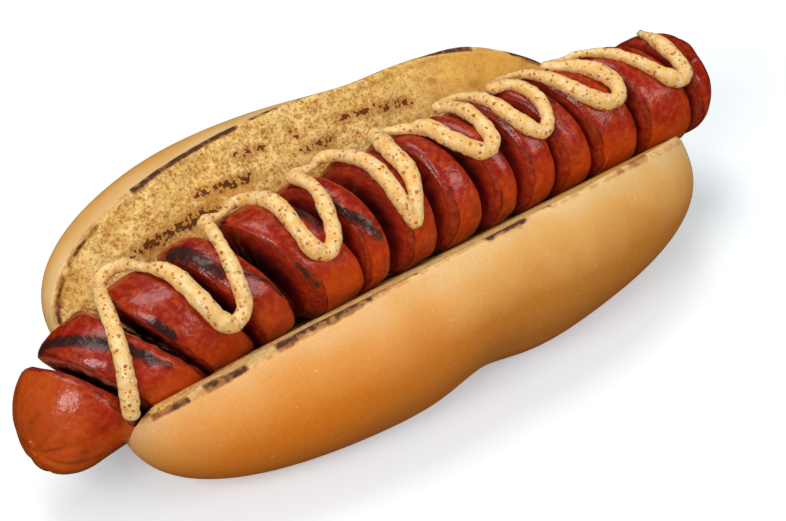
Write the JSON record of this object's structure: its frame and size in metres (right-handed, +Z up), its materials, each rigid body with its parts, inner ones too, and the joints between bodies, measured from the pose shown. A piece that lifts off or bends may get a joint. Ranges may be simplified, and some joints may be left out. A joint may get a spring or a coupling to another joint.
{
  "type": "hot dog",
  "caption": "Hot dog: a split bun opened into a V, a slashed grilled sausage longer than the bun, and a zigzag of wholegrain mustard.",
  "frame": {"origin": "middle of the whole food's box, on the surface that the bun rests on", "axes": "+X along the bun towards the sausage's upturned end, +Y towards the half of the bun that shows its crumb, +Z up"},
  "size_m": [0.1805, 0.082, 0.0461],
  "materials": {
    "bun": "baked bread: smooth golden-brown crust with a faint sheen, porous cream crumb toasted in brown specks",
    "sausage": "grilled sausage: glossy red-brown skin, dark wet cut faces, charred marks",
    "mustard": "wholegrain mustard: glossy cream yellow with brown and orange seed flecks"
  },
  "bodies": {
    "root": {"bun": "bun", "sausage": "sausage", "mustard": "mustard"}
  },
  "joints": []
}
